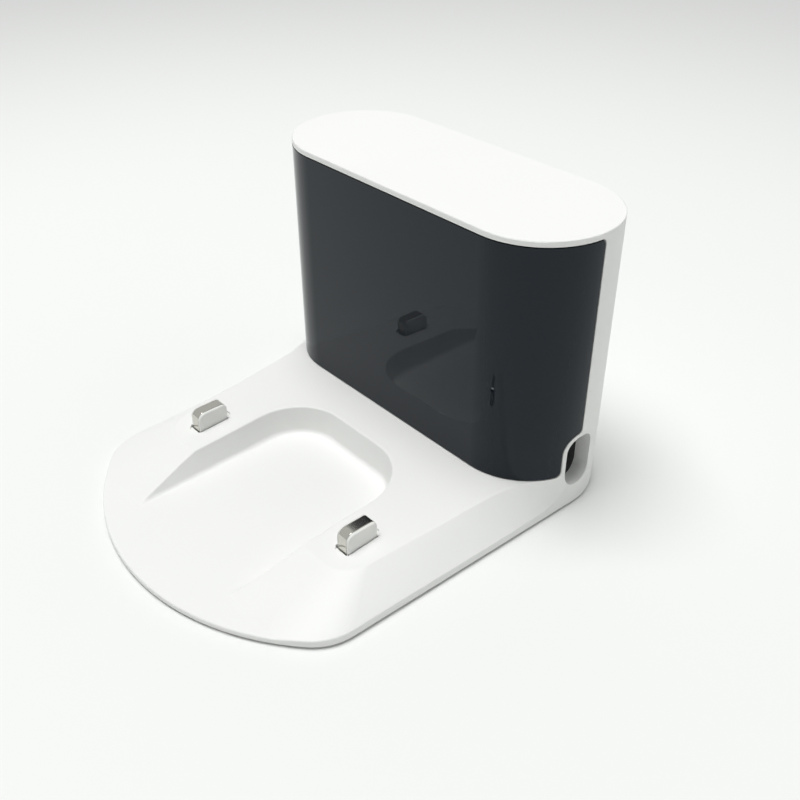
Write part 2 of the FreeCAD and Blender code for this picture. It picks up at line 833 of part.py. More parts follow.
def cord_bay():
    """Inner moulding: cord tub with ducts to both exits, and posts for the boards."""
    wide = bay_half + bay_wall
    tub = box(-wide, wide, bay_front_y, bay_rear_y, bay_low - bay_wall, bay_top)
    tub = tub.cut(box(-bay_half, bay_half, bay_front_y + bay_wall, back_y, bay_low, bay_high))
    adds = [winding_post()]
    cuts = []
    inside = stadium(exit_sleeve + plate_gap, 0, dock_height)
    duct_right = exit_block(duct_wall, bay_half + bay_wall / 2, half_width).common(inside)
    bore_right = exit_block(0, bay_half - bay_wall, half_width)
    adds += [duct_right, mirrored(duct_right)]
    cuts += [bore_right, mirrored(bore_right)]
    for x, z in peg_places():
        side = 1 if x > 0 else -1
        rise = 1 if z > cover_mid else -1
        x_wall = side * (bay_half + bay_wall / 2)
        z_wall = bay_top - bay_wall / 2 if rise > 0 else bay_low - bay_wall / 2
        x_free = side * (bay_half - socket_block)
        z_free = bay_high - socket_block if rise > 0 else bay_low + socket_block
        adds.append(box(min(x_wall, x_free), max(x_wall, x_free), bay_rear_y - socket_block_length,
                        bay_rear_y, min(z_wall, z_free), max(z_wall, z_free)))
        cuts.append(peg(x, z, cover_inner_y - peg_length - peg_gap, back_y, peg_radius + peg_gap))
    for x, y in board_post_places():
        adds.append(post(x, y, bay_top - bay_wall / 2, board_low, board_post_radius))
        cuts.append(post(x, y, board_high - screw_length, board_low + cut_over, screw_radius + screw_gap))
    for side in (-1, 1):
        ir_x = side * ir_post_x
        adds.append(peg(ir_x, beacon_height, ir_back_y, bay_front_y + bay_wall / 2, ir_post_radius))
        cuts.append(peg(ir_x, beacon_height, ir_back_y - cut_over, ir_front_y + screw_length,
                        screw_radius + screw_gap))
        x_in = side * (bay_half + bay_wall / 2)
        x_out = side * (wide + ear_reach)
        adds.append(box(min(x_in, x_out), max(x_in, x_out), ear_y - ear_wall, ear_y,
                        ear_height - ear_half, ear_height + ear_half))
        cuts.append(peg(side * ear_x, ear_height, ear_y - ear_wall - cut_over, ear_y + cut_over,
                        screw_radius + screw_gap))
        rib_x = side * bay_rib_x
        rib_y = (bay_front_y + bay_rear_y) / 2
        adds.append(box(rib_x - bay_rib_wall / 2, rib_x + bay_rib_wall / 2, rib_y - bay_rib_length / 2,
                        rib_y + bay_rib_length / 2, plate_top, bay_low - bay_wall / 2))
    half_x = inlet_body_length / 2 + inlet_gap
    half_y = inlet_body_width / 2 + inlet_gap
    cuts.append(box(inlet_x - half_x, inlet_x + half_x, inlet_y - half_y, inlet_y + half_y,
                    bay_high - cut_over, bay_top + cut_over))
    bay = tub.multiFuse(adds)
    for cut in cuts:
        bay = bay.cut(cut)
    return bay


def bay_screws():
    ahead = Vector(0, 1, 0)
    return [screw(Vector(side * ear_x, ear_y - ear_wall, ear_height), ahead) for side in (-1, 1)]


def pin_places():
    return [(inlet_x + side * pin_spacing / 2, inlet_y) for side in (-1, 1)]


def ac_inlet():
    """Two-pin mains inlet: flange under the bay's ceiling, body up to the power board."""
    mouth = bay_high - inlet_flange_wall
    flange = box(inlet_x - inlet_flange_length / 2, inlet_x + inlet_flange_length / 2,
                 inlet_y - inlet_flange_width / 2, inlet_y + inlet_flange_width / 2, mouth, bay_high)
    body = box(inlet_x - inlet_body_length / 2, inlet_x + inlet_body_length / 2,
               inlet_y - inlet_body_width / 2, inlet_y + inlet_body_width / 2, mouth, board_low)
    inlet = flange.fuse(body)
    waist = box(inlet_x - pin_spacing / 2, inlet_x + pin_spacing / 2, inlet_y - socket_waist,
                inlet_y + socket_waist, mouth, mouth + socket_depth)
    inlet = inlet.cut(waist)
    for x, y in pin_places():
        inlet = inlet.cut(post(x, y, mouth, mouth + socket_depth, socket_lobe))
        inlet = inlet.cut(post(x, y, mouth, board_high, pin_radius + pin_gap))
    return inlet


def inlet_pins():
    root = bay_high - inlet_flange_wall + socket_depth
    return [post(x, y, root - pin_length, board_high + pin_tail, pin_radius) for x, y in pin_places()]


def power_board():
    board = box(-board_half_width, board_half_width, board_front_y, board_front_y + board_depth,
                board_low, board_high)
    board = board.common(stadium(tower_wall + board_gap, board_low, board_high))
    for x, y in board_post_places():
        board = board.cut(post(x, y, board_low, board_high, screw_radius + screw_gap))
    for x, y in pin_places():
        board = board.cut(post(x, y, board_low, board_high, pin_radius + pin_hole_gap))
    return board


def board_screws():
    return [screw(Vector(x, y, board_high), Vector(0, 0, -1)) for x, y in board_post_places()]


def contact_profile(inset, low, x0, x1):
    """Side view of a contact: upright with rounded upper corners, inset from its outer face."""
    front = contact_y - core_reach + inset
    rear = contact_y + core_reach - inset
    high = contact_top - inset
    a = Vector(x0, front, low)
    b = Vector(x0, rear, low)
    fore = blend(Vector(x0, front, high), a, Vector(x0, rear, high), contact_round_front - inset)
    aft = blend(Vector(x0, rear, high), Vector(x0, front, high), b, contact_round_rear - inset)
    edges = [line(a, fore[0]), arc(*fore), line(fore[2], aft[0]), arc(*aft), line(aft[2], b), line(b, a)]
    return prism(Part.Wire(edges), Vector(x1 - x0, 0, 0))


def edges_at(shape, x, low):
    """Edges of a shape that lie in one upright plane along the dock, its bottom edge left out."""
    flat = [e for e in shape.Edges if e.BoundBox.XLength < edge_tol and abs(e.BoundBox.XMin - x) < edge_tol]
    return [e for e in flat if e.BoundBox.ZMax > low + edge_tol]


def contact_core(x):
    """White plunger: blade with two round-edged cheeks, a retaining flange and a bore for the spring."""
    left = x - core_half
    right = x + core_half
    middle = contact_profile(strip_thick, flange_low, left + cheek_wall / 2, right - cheek_wall / 2)
    cheeks = []
    for outer, inner in ((left, left + cheek_wall), (right, right - cheek_wall)):
        cheek = contact_profile(cheek_drop, flange_low, min(outer, inner), max(outer, inner))
        cheeks.append(cheek.makeFillet(cheek_round, edges_at(cheek, outer, flange_low)))
    flange = box(x - flange_half, x + flange_half, contact_y - flange_reach, contact_y + flange_reach,
                 flange_low, flange_top)
    core = fuse_all([middle, flange] + cheeks)
    return core.cut(post(x, contact_y, 0, spring_bore_top, spring_bore))


def contact_strip(x):
    """Nickel strip folded over the plunger's front, top and rear."""
    left = x - core_half + cheek_wall + strip_gap
    right = x + core_half - cheek_wall - strip_gap
    bar = contact_profile(0, flange_top, left, right)
    bar = bar.makeFillet(strip_round, edges_at(bar, left, flange_top) + edges_at(bar, right, flange_top))
    return bar.cut(contact_profile(strip_thick, 0, left, right))


def contact_spring(x):
    """Coil spring inside the plunger's bore, standing on the terminal."""
    low = terminal_top + spring_end_gap + spring_wire / 2
    high = spring_bore_top - spring_end_gap - spring_wire / 2
    pitch = (high - low) / spring_turns
    helix = Part.makeHelix(pitch, high - low, spring_radius)
    rise = Vector(0, 2 * math.pi * spring_radius, pitch)
    section = Part.Wire(Part.makeCircle(spring_wire / 2, Vector(spring_radius, 0, 0), rise))
    coil = Part.Wire(helix.Edges).makePipeShell([section], True, True)
    coil.translate(Vector(x, contact_y, low))
    return coil


def contact_housing(x):
    """Sleeve that guides the plunger's flange, standing on the bottom plate."""
    half = flange_half + slide_gap
    reach = flange_reach + slide_gap
    sleeve = box(x - half - housing_wall, x + half + housing_wall, contact_y - reach - housing_wall,
                 contact_y + reach + housing_wall, plate_top, flange_top)
    sleeve = sleeve.cut(box(x - half, x + half, contact_y - reach, contact_y + reach, 0, dock_height))
    slot_half = terminal_half_width + slide_gap
    return sleeve.cut(box(x - slot_half, x + slot_half, contact_y, contact_y + dock_depth, 0,
                          terminal_top + slide_gap))


def contact_terminal(x):
    """Flat spring terminal on the bottom plate, its tail led out behind the sleeve."""
    tail_end = contact_y + flange_reach + slide_gap + housing_wall + terminal_tail
    return box(x - terminal_half_width, x + terminal_half_width, contact_y - core_reach / 2, tail_end,
               plate_top, terminal_top)


def contact_lead(x):
    """Insulated lead from the terminal, under the deck and up to the power board."""
    start_y = contact_y + flange_reach + slide_gap + housing_wall + terminal_tail / 4
    a = Vector(x, start_y, lead_z)
    b = Vector(x, lead_rise_y - lead_bend, lead_z)
    c = Vector(x, lead_rise_y, lead_z + lead_bend)
    centre = Vector(x, lead_rise_y - lead_bend, lead_z + lead_bend)
    m = centre + ((b - centre) + (c - centre)).normalize() * lead_bend
    d = Vector(x, lead_rise_y, board_low)
    path = Part.Wire([line(a, b), arc(b, m, c), line(c, d)])
    section = Part.Wire(Part.makeCircle(lead_radius, a, Vector(0, 1, 0)))
    return path.makePipeShell([section], True, False)


def transformer_core():
    """Pair of E-shaped ferrite halves round the winding."""
    y = tower_y
    half = core_length / 2
    high = board_high + core_height
    core = box(transformer_x - half, transformer_x + half, y - core_width / 2, y + core_width / 2,
               board_high, high)
    for side in (-1, 1):
        x_near = transformer_x + side * core_centre_leg / 2
        x_far = transformer_x + side * (half - core_leg)
        core = core.cut(box(min(x_near, x_far), max(x_near, x_far), y - core_width, y + core_width,
                            board_high + core_leg, high - core_leg))
    return core


def transformer_winding():
    """Taped winding on the core's centre leg."""
    y = tower_y
    half = core_length / 2 - core_leg - winding_gap
    low = board_high + core_leg + winding_gap
    high = board_high + core_height - core_leg - winding_gap
    coil = box(transformer_x - half, transformer_x + half, y - winding_width / 2, y + winding_width / 2,
               low, high)
    upright = [e for e in coil.Edges if e.BoundBox.ZLength > (high - low) / 2]
    coil = coil.makeFillet(winding_round, upright)
    leg_x = core_centre_leg / 2 + winding_gap
    leg_y = core_width / 2 + winding_gap
    leg = box(transformer_x - leg_x, transformer_x + leg_x, y - leg_y, y + leg_y, 0, dock_height)
    return coil.cut(leg)


def can(x, y, radius, height):
    """Capacitor can standing on the power board, its top edge rounded."""
    body = post(x, y, board_high, board_high + height, radius)
    rim = [e for e in body.Edges if e.BoundBox.ZMin > board_high + height / 2]
    return body.makeFillet(can_round, rim)


def bulk_capacitor():
    return can(bulk_x, tower_y + bulk_radius / 2, bulk_radius, bulk_height)


def output_capacitors():
    y = board_front_y + output_radius + board_gap
    return [can(output_x + step * output_pitch, y, output_radius, output_height) for step in (0, 1)]


def filter_choke():
    """Wound ring lying on the power board."""
    y = tower_y + choke_radius
    return Part.makeTorus(choke_radius, choke_wire, Vector(choke_x, y, board_high + choke_wire))


def line_capacitor():
    half = line_capacitor_length / 2
    y = board_front_y + line_capacitor_width
    return box(inlet_x - half, inlet_x + half, y, y + line_capacitor_width,
               board_high, board_high + line_capacitor_height)


def fuse():
    return post(fuse_x, tower_y + fuse_radius, board_high, board_high + fuse_height, fuse_radius)


def sink_front_y():
    return board_front_y + sink_fin + board_gap


def heat_sink():
    """Finned aluminium plate standing on the power board."""
    y = sink_front_y()
    x0 = sink_x - sink_length / 2
    sink = [box(x0, x0 + sink_length, y, y + sink_wall, board_high, board_high + sink_height)]
    pitch = (sink_length - sink_wall) / (sink_fins - 1)
    for step in range(sink_fins):
        x = x0 + step * pitch
        sink.append(box(x, x + sink_wall, y - sink_fin, y + sink_wall,
                        board_high, board_high + sink_height))
    return fuse_all(sink)


def switch_transistor():
    x = transformer_x + core_length / 2 + transistor_width / 2
    y = sink_front_y() + sink_wall
    return box(x - transistor_width / 2, x + transistor_width / 2, y, y + transistor_thick,
               board_high, board_high + transistor_height)


def ir_board():
    board = box(-ir_board_half, ir_board_half, ir_front_y, ir_back_y,
                beacon_height - ir_board_height / 2, beacon_height + ir_board_height / 2)
    hole = screw_radius + screw_gap
    for side in (-1, 1):
        board = board.cut(peg(side * ir_post_x, beacon_height, ir_front_y, ir_back_y, hole))
    return board


def ir_screws():
    ahead = Vector(0, 1, 0)
    return [screw(Vector(side * ir_post_x, ir_front_y, beacon_height), ahead) for side in (-1, 1)]


def ir_cell():
    """Width of one beam cell of the shroud, with one wall."""
    return (2 * ir_shroud_half - ir_shroud_wall) / emitter_count


def ir_shroud():
    """Black baffle that parts the beams of the emitters."""
    front = panel_y + panel_wall + ir_shroud_gap
    low = beacon_height - ir_shroud_height / 2
    high = beacon_height + ir_shroud_height / 2
    shroud = box(-ir_shroud_half, ir_shroud_half, front, ir_front_y, low, high)
    for step in range(emitter_count):
        x0 = -ir_shroud_half + ir_shroud_wall + step * ir_cell()
        x1 = x0 + ir_cell() - ir_shroud_wall
        shroud = shroud.cut(box(x0, x1, front, ir_front_y, low + ir_shroud_wall, high - ir_shroud_wall))
    return shroud


def ir_emitters():
    """Emitters in the cells, each a round body with a domed end."""
    emitters = []
    for step in range(emitter_count):
        x = -ir_shroud_half + ir_shroud_wall / 2 + (step + 0.5) * ir_cell()
        body = peg(x, beacon_height, ir_front_y - emitter_length, ir_front_y, emitter_radius)
        dome = Part.makeSphere(emitter_radius, Vector(x, ir_front_y - emitter_length, beacon_height))
        emitters.append(body.fuse(dome).removeSplitter())
    return emitters


def ir_ribbon():
    """Flat lead from the beacon board straight up to the power board."""
    y = (ir_front_y + ir_back_y) / 2
    return box(-ribbon_width / 2, ribbon_width / 2, y - ribbon_thick / 2, y + ribbon_thick / 2,
               beacon_height + ir_board_height / 2, board_low)


def export(node, shape):
    solids = []
    for item in shape if isinstance(shape, list) else [shape]:
        solids += item.Solids
    body = solids[0] if len(solids) == 1 else Part.makeCompound(solids)
    body.exportStep("parts/" + node + ".step")


single_pieces = (
    main_shell, front_panel, bottom_plate, plate_screws, rubber_feet, rear_cover, cord_bay,
    bay_screws, ac_inlet, inlet_pins, power_board, board_screws, transformer_core,
    transformer_winding, bulk_capacitor, output_capacitors, filter_choke, line_capacitor, fuse,
    heat_sink, switch_transistor, ir_board, ir_screws, ir_shroud, ir_emitters, ir_ribbon,
)
paired_pieces = (
    contact_core, contact_strip, contact_spring, contact_housing, contact_terminal, contact_lead,
)

os.makedirs("parts", exist_ok=True)
for piece in single_pieces:
    export(piece.__name__, piece())
for piece in paired_pieces:
    for name, x in contact_places():
        export(piece.__name__ + "_" + name, piece(x))
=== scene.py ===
import json
import math

import bmesh
import bpy
import numpy as np
from mathutils import Matrix, Vector

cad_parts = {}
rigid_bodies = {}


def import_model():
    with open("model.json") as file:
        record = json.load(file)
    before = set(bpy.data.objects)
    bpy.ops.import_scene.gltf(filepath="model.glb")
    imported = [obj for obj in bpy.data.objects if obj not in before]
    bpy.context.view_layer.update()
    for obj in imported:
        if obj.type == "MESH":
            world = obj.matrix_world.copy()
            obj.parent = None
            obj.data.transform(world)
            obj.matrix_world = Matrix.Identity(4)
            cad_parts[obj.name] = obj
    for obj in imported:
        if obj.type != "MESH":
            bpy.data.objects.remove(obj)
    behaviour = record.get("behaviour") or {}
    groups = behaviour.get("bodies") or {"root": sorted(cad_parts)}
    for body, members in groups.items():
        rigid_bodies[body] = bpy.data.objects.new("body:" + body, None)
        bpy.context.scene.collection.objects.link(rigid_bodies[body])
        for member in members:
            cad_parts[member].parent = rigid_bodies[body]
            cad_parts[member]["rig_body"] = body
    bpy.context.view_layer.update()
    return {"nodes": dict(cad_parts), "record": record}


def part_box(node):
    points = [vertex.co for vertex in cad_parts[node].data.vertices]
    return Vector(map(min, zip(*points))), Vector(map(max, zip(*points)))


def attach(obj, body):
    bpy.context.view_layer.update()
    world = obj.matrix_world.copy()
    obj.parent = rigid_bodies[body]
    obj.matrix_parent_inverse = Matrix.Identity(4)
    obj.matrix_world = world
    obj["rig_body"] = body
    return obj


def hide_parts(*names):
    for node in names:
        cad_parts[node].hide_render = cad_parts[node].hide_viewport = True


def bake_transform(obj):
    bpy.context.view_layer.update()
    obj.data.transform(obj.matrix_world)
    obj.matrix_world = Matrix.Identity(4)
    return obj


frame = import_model()
scene = bpy.context.scene
scene.view_settings.view_transform = "Standard"
mm = 0.001
fullTurn = 2 * np.pi
print("frame loaded:", len(frame["nodes"]), "nodes")

# Camera: the photograph's viewpoint, in metres and degrees
cameraSet = {
    "place": (0.21214, -0.15493, 0.21330),
    "azimuth": 48.7233,
    "elevation": 34.8436,
    "roll": -0.283,
    "focalPixels": 971.99,  # on an image of 800 pixels
    "imagePixels": 800.0,
    "sensor": 36.0,
    "clipStart": 0.01,
}


def makeCamera(s):
    az = math.radians(s["azimuth"])
    el = math.radians(s["elevation"])
    roll = math.radians(s["roll"])
    back = Vector((math.sin(az) * math.cos(el), -math.cos(az) * math.cos(el), math.sin(el)))
    right = (-back).cross(Vector((0, 0, 1))).normalized()
    up = right.cross(-back)
    turnedRight = right * math.cos(roll) + up * math.sin(roll)
    turnedUp = up * math.cos(roll) - right * math.sin(roll)
    data = bpy.data.cameras.new("photoCamera")
    data.sensor_width = s["sensor"]
    data.lens = s["focalPixels"] / s["imagePixels"] * s["sensor"]
    data.clip_start = s["clipStart"]
    camera = bpy.data.objects.new("photoCamera", data)
    columns = Matrix((turnedRight, turnedUp, back)).transposed().to_4x4()
    camera.matrix_world = Matrix.Translation(s["place"]) @ columns
    scene.collection.objects.link(camera)
    scene.camera = camera


makeCamera(cameraSet)
print("camera set")


# Shader groups that several finishes share
def newGroup(name, inputs, outputs):
    tree = bpy.data.node_groups.new(name, "ShaderNodeTree")
    for label, kind, value in inputs:
        socket = tree.interface.new_socket(name=label, in_out="INPUT", socket_type=kind)
        socket.default_value = value
    for label, kind in outputs:
        tree.interface.new_socket(name=label, in_out="OUTPUT", socket_type=kind)
    return tree, tree.nodes.new("NodeGroupInput"), tree.nodes.new("NodeGroupOutput")


def addNode(tree, kind, links=None, **values):
    node = tree.nodes.new(kind)
    for key, value in values.items():
        setattr(node, key, value)
    for key, value in (links or {}).items():
        if isinstance(value, bpy.types.NodeSocket):
            tree.links.new(value, node.inputs[key])
        else:
            node.inputs[key].default_value = value
    return node


# Scales and noise of the moulded skin, and the pointiness at which wear begins and is full
skinSet = {
    "grainScale": 2600.0,
    "grainNoise": {"Detail": 3.0, "Roughness": 0.55},
    "flowScale": 22.0,
    "flowNoise": {"Detail": 2.0, "Roughness": 0.5, "Distortion": 0.6},
    "flowSpan": (0.3, 0.7),  # most of the flow marks' values lie between these
    "wear": (0.52, 0.62),
}


def mouldGrainGroup(s):
    # fine spark-eroded grain (small noise) over slow flow marks (large noise), both 0 to 1
    tree, start, end = newGroup(
        "mouldGrain",
        [("Grain Scale", "NodeSocketFloat", s["grainScale"]),
         ("Flow Scale", "NodeSocketFloat", s["flowScale"])],
        [("Grain", "NodeSocketFloat"), ("Flow", "NodeSocketFloat")],
    )
    place = addNode(tree, "ShaderNodeTexCoord").outputs["Object"]
    for label, noise in (("Grain", s["grainNoise"]), ("Flow", s["flowNoise"])):
        marks = addNode(tree, "ShaderNodeTexNoise", {
            "Vector": place, "Scale": start.outputs[label + " Scale"], **noise})
        tree.links.new(marks.outputs["Fac"], end.inputs[label])
    return tree


def rubbedEdgeGroup(s):
    # how far a place stands out, from the mesh's pointiness: 0 on faces and 1 on worn edges
    begin, full = s["wear"]
    tree, start, end = newGroup(
        "rubbedEdge",
        [("Begin", "NodeSocketFloat", begin), ("Full", "NodeSocketFloat", full)],
        [("Edge", "NodeSocketFloat")],
    )
    shape = addNode(tree, "ShaderNodeNewGeometry")
    span = addNode(tree, "ShaderNodeMapRange", {
        "Value": shape.outputs["Pointiness"], "From Min": start.outputs["Begin"],
        "From Max": start.outputs["Full"]}, clamp=True)
    tree.links.new(span.outputs["Result"], end.inputs["Edge"])
    return tree


groups = {"grain": mouldGrainGroup(skinSet), "edge": rubbedEdgeGroup(skinSet)}


def placeGroup(tree, which, **values):
    node = tree.nodes.new("ShaderNodeGroup")
    node.node_tree = groups[which]
    for key, value in values.items():
        node.inputs[key.replace("_", " ")].default_value = value
    return node


def blendColour(tree, factor, first, second):
    mix = addNode(tree, "ShaderNodeMix", data_type="RGBA")
    sockets = {socket.identifier: socket for socket in mix.inputs}
    for name, value in (("A_Color", first), ("B_Color", second)):
        if isinstance(value, bpy.types.NodeSocket):
            tree.links.new(value, sockets[name])
        else:
            sockets[name].default_value = (*value, 1)
    tree.links.new(factor, sockets["Factor_Float"])
    return next(socket for socket in mix.outputs if socket.identifier == "Result_Color")


def rangeOf(tree, value, old, new):
    node = addNode(tree, "ShaderNodeMapRange", {
        "Value": value, "From Min": old[0], "From Max": old[1], "To Min": new[0], "To Max": new[1]})
    return node.outputs["Result"]


# Finishes: colour pair over the flow marks, roughness range, grain depth in metres, plain sockets,
# and for worn edges their colour and the pointiness range
plainFinish = {"metal": 0.0, "ior": 1.5, "specular": 0.5, "tint": (1, 1, 1)}
finishes = {
    "white_shell": {"a": (0.875, 0.88, 0.862), "b": (0.89, 0.893, 0.877), "rough": (0.44, 0.52),
                    "grain": 2200, "depth": 0.000006, "specular": 0.35},
    "contact_plastic": {"a": (0.83, 0.832, 0.81), "b": (0.86, 0.86, 0.84), "rough": (0.3, 0.4),
                        "grain": 2600, "depth": 0.000004, "specular": 0.45},
    "base_plastic": {"a": (0.76, 0.765, 0.75), "b": (0.8, 0.805, 0.79), "rough": (0.5, 0.6),
                     "grain": 1400, "depth": 0.00002, "specular": 0.4,
                     "edge": (0.83, 0.833, 0.82), "wear": (0.53, 0.62)},
    "bay_plastic": {"a": (0.085, 0.086, 0.088), "b": (0.1, 0.101, 0.103), "rough": (0.42, 0.52),
                    "grain": 1800, "depth": 0.00001, "specular": 0.4},
    "smoked_window": {"a": (0.0064, 0.0085, 0.0134), "b": (0.0071, 0.0093, 0.0146),
                      "rough": (0.018, 0.03), "grain": 400, "depth": 0.0, "ior": 1.45,
                      "specular": 0.33, "tint": (0.84, 0.95, 1.0)},
    "black_plastic": {"a": (0.022, 0.022, 0.024), "b": (0.032, 0.032, 0.034), "rough": (0.4, 0.5),
                      "grain": 2000, "depth": 0.00001, "specular": 0.45},
    "foot_rubber": {"a": (0.035, 0.035, 0.037), "b": (0.055, 0.055, 0.056), "rough": (0.75, 0.9),
                    "grain": 900, "depth": 0.00004, "ior": 1.45, "specular": 0.3,
                    "edge": (0.1, 0.1, 0.098), "wear": (0.52, 0.6)},
    "screw_steel": {"a": (0.5, 0.5, 0.51), "b": (0.6, 0.6, 0.61), "rough": (0.28, 0.42),
                    "grain": 1500, "depth": 0.00001, "metal": 1.0,
                    "edge": (0.74, 0.74, 0.75), "wear": (0.52, 0.6)},
    "spring_steel": {"a": (0.55, 0.55, 0.55), "b": (0.64, 0.64, 0.64), "rough": (0.22, 0.34),
                     "grain": 1500, "depth": 0.00001, "metal": 1.0},
    "bright_nickel": {"a": (0.57, 0.565, 0.52), "b": (0.63, 0.62, 0.575), "rough": (0.07, 0.14),
                      "grain": 1600, "depth": 0.000003, "metal": 1.0},
    "plain_brass": {"a": (0.66, 0.5, 0.25), "b": (0.75, 0.58, 0.3), "rough": (0.25, 0.38),
                    "grain": 1500, "depth": 0.00001, "metal": 1.0},
    "bare_aluminium": {"a": (0.66, 0.67, 0.68), "b": (0.74, 0.75, 0.76), "rough": (0.32, 0.45),
                       "grain": 1100, "depth": 0.00002, "metal": 1.0},
    "copper_wire": {"a": (0.5, 0.2, 0.09), "b": (0.66, 0.3, 0.14), "rough": (0.25, 0.36),
                    "grain": 1200, "depth": 0.00003, "metal": 1.0},
    "circuit_board": {"a": (0.012, 0.11, 0.045), "b": (0.02, 0.17, 0.07), "rough": (0.3, 0.42),
                      "grain": 700, "depth": 0.00001},
    "ferrite": {"a": (0.045, 0.045, 0.048), "b": (0.075, 0.075, 0.078), "rough": (0.6, 0.75),
                "grain": 1300, "depth": 0.00003, "specular": 0.4},
    "winding_tape": {"a": (0.62, 0.45, 0.05), "b": (0.72, 0.55, 0.09), "rough": (0.28, 0.4),
                     "grain": 500, "depth": 0.00002},
    "capacitor_sleeve": {"a": (0.015, 0.02, 0.045), "b": (0.025, 0.03, 0.06), "rough": (0.2, 0.3),
                         "grain": 900, "depth": 0.00001},
    "yellow_block": {"a": (0.68, 0.5, 0.08), "b": (0.76, 0.58, 0.12), "rough": (0.3, 0.4),
                     "grain": 1500, "depth": 0.00001},
    "emitter_resin": {"a": (0.05, 0.025, 0.07), "b": (0.08, 0.04, 0.1), "rough": (0.05, 0.1),
                      "grain": 900, "depth": 0.0},
    "lead_insulation": {"a": (0.36, 0.035, 0.03), "b": (0.45, 0.05, 0.045), "rough": (0.4, 0.5),
                        "grain": 1500, "depth": 0.00001, "ior": 1.45, "specular": 0.4},
}


def makeFinish(name, own):
    s = {**plainFinish, **own}
    material = bpy.data.materials.new(name)
    material.use_nodes = True
    tree = material.node_tree
    shader = tree.nodes["Principled BSDF"]
    skin = placeGroup(tree, "grain", Grain_Scale=s["grain"])
    colour = blendColour(tree, skin.outputs["Flow"], s["a"], s["b"])
    if "edge" in s:
        worn = placeGroup(tree, "edge", Begin=s["wear"][0], Full=s["wear"][1])
        colour = blendColour(tree, worn.outputs["Edge"], colour, s["edge"])
    tree.links.new(colour, shader.inputs["Base Color"])
    rough = rangeOf(tree, skin.outputs["Flow"], skinSet["flowSpan"], s["rough"])
    tree.links.new(rough, shader.inputs["Roughness"])
    if s["depth"]:
        bump = addNode(tree, "ShaderNodeBump", {
            "Height": skin.outputs["Grain"], "Distance": s["depth"], "Strength": 1.0})
        tree.links.new(bump.outputs["Normal"], shader.inputs["Normal"])
    shader.inputs["Metallic"].default_value = s["metal"]
    shader.inputs["IOR"].default_value = s["ior"]
    shader.inputs["Specular IOR Level"].default_value = s["specular"]
    shader.inputs["Specular Tint"].default_value = (*s["tint"], 1)
    return material


materials = {name: makeFinish(name, s) for name, s in finishes.items()}
slotOf = {entry["node"]: entry["material_slot"] for entry in frame["record"]["subparts"]}
for node, piece in frame["nodes"].items():
    piece.data.materials.clear()
    piece.data.materials.append(materials[slotOf[node]])
print("finishes made:", len(materials))


# Steps that several pieces share
def boxOf(node):
    return [np.array(corner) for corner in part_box(node)]


def turnSteps(count):
    # angles of a full turn in even steps, the last one step short of the first
    return np.linspace(0, fullTurn, count, endpoint=False)


def workOver(mesh, change):
    work = bmesh.new()
    work.from_mesh(mesh)
    change(work)
    work.to_mesh(mesh)
    work.free()


def standFor(name, mesh, node, slot, sharpAngle, rides=True):
    # shades the mesh, gives it its finish and lets it take the node's place on the node's body
    mesh.shade_smooth()
    mesh.set_sharp_from_angle(angle=math.radians(sharpAngle))
    mesh.materials.append(materials[slot])
    piece = bpy.data.objects.new(name, mesh)
    scene.collection.objects.link(piece)
    if rides:  # a piece that does not ride is left on no body
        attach(piece, frame["nodes"][node]["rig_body"])
    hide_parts(node)
    return piece


# Moulded pieces: the solid's own mesh with its corners merged, flat faces joined and even shading
mouldedSet = {
    "nodes": ["main_shell", "rear_cover", "bottom_plate", "cord_bay", "contact_core_left",
              "contact_core_right", "front_panel"],
    "mergeStep": 1e-6,
    "flatAngle": 0.15,
    "sharpAngle": 33.0,
    "normalWeight": 50,
}


def mergedMesh(node):
    # every corner is snapped to a fine grid, and equal corners become one vertex
    source = frame["nodes"][node].data
    corners = np.empty(len(source.vertices) * 3, np.float32)
    source.vertices.foreach_get("co", corners)
    corners = corners.reshape(-1, 3)
    source.calc_loop_triangles()
    tris = np.empty(len(source.loop_triangles) * 3, np.int32)
    source.loop_triangles.foreach_get("vertices", tris)
    keys = np.round(corners / mouldedSet["mergeStep"]).astype(np.int64)
    first, which = np.unique(keys, axis=0, return_index=True, return_inverse=True)[1:]
    tris = which.reshape(-1)[tris].reshape(-1, 3)
    whole = (tris[:, 0] != tris[:, 1]) & (tris[:, 1] != tris[:, 2]) & (tris[:, 2] != tris[:, 0])
    return corners[first], tris[whole]


def evenTwin(node, s):
    corners, tris = mergedMesh(node)
    mesh = bpy.data.meshes.new(node + "Skin")
    mesh.from_pydata(corners.tolist(), [], tris.tolist())
    flat = math.radians(s["flatAngle"])
    workOver(mesh, lambda work: bmesh.ops.dissolve_limit(
        work, angle_limit=flat, verts=work.verts, edges=work.edges, use_dissolve_boundaries=False))
    piece = standFor(node + "Skin", mesh, node, slotOf[node], s["sharpAngle"])
    shade = piece.modifiers.new("evenShade", "WEIGHTED_NORMAL")
    shade.keep_sharp = True
    shade.weight = s["normalWeight"]


for node in mouldedSet["nodes"]:
    evenTwin(node, mouldedSet)
print("moulded skins made:", len(mouldedSet["nodes"]))


# Pieces worked out as grids of points
def solidBoxes(node):
    # corners that share a face take the lowest number among them until each solid has one number
    corners, tris = mergedMesh(node)
    label = np.arange(len(corners))
    while True:
        lowest = label.copy()
        np.minimum.at(lowest, tris.ravel(), np.repeat(label[tris].min(axis=1), 3))
        lowest = lowest[lowest]
        if np.array_equal(lowest, label):
            break
        label = lowest
    solids = [corners[label == number] for number in np.unique(label[tris])]
    return [(solid.min(axis=0), solid.max(axis=0)) for solid in solids]


